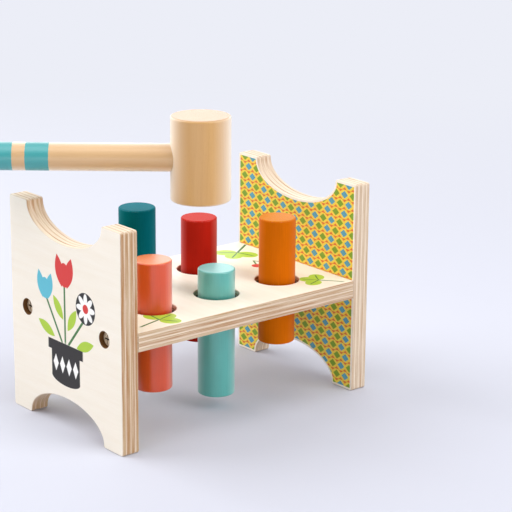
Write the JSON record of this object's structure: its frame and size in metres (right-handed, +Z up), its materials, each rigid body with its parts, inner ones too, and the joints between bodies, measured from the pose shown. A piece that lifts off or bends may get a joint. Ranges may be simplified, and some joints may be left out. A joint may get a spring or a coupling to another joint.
{
  "type": "pounding toy",
  "caption": "Wooden hammering bench: scalloped plywood end plates carry a board whose rubber-gripped pegs are knocked through with a loose mallet, then the toy is turned over.",
  "frame": {"origin": "on the ground, under the middle of the whole set's box, the raised mallet included", "axes": "+X along the bench from the left end plate to the right one, +Y from the front row of holes to the back row, +Z up"},
  "size_m": [0.2488, 0.1456, 0.1912],
  "materials": {
    "plywood": "satin birch plywood with eased edges",
    "paint_coral": "satin coral paint on turned wood",
    "paint_mint": "satin mint paint on turned wood",
    "paint_orange": "satin orange paint on turned wood",
    "paint_dark_teal": "satin dark teal paint on turned wood",
    "paint_red": "satin red paint on turned wood",
    "grip_rubber": "matt black rubber",
    "screw_bronze": "bronzed steel wood screw",
    "turned_wood": "satin turned beech, the handle with painted bands"
  },
  "bodies": {
    "bench": {"left_end_plate": "plywood", "right_end_plate": "plywood", "bench_board": "plywood", "grip_ring_coral": "grip_rubber", "grip_ring_mint": "grip_rubber", "grip_ring_orange": "grip_rubber", "grip_ring_dark_teal": "grip_rubber", "grip_ring_red": "grip_rubber", "screw_left_front": "screw_bronze", "screw_left_back": "screw_bronze", "screw_right_front": "screw_bronze", "screw_right_back": "screw_bronze"},
    "coral_peg": {"peg_coral": "paint_coral"},
    "mint_peg": {"peg_mint": "paint_mint"},
    "orange_peg": {"peg_orange": "paint_orange"},
    "dark_teal_peg": {"peg_dark_teal": "paint_dark_teal"},
    "red_peg": {"peg_red": "paint_red"},
    "mallet": {"mallet_head": "turned_wood", "mallet_handle": "turned_wood"}
  },
  "joints": [
    {"name": "coral_peg_slide", "type": "slide", "parent": "bench", "child": "coral_peg", "axis": [0, 0, 1], "range_m": [-0.0237, 0.0313]},
    {"name": "mint_peg_slide", "type": "slide", "parent": "bench", "child": "mint_peg", "axis": [0, 0, 1], "range_m": [-0.0091, 0.0459]},
    {"name": "orange_peg_slide", "type": "slide", "parent": "bench", "child": "orange_peg", "axis": [0, 0, 1], "range_m": [-0.0338, 0.0212]},
    {"name": "dark_teal_peg_slide", "type": "slide", "parent": "bench", "child": "dark_teal_peg", "axis": [0, 0, 1], "range_m": [-0.0422, 0.0128]},
    {"name": "red_peg_slide", "type": "slide", "parent": "bench", "child": "red_peg", "axis": [0, 0, 1], "range_m": [-0.0274, 0.0276]},
    {"name": "mallet_lift", "type": "slide", "parent": "bench", "child": "mallet", "axis": [0, 0, 1], "range_m": [0, 0.1]}
  ]
}
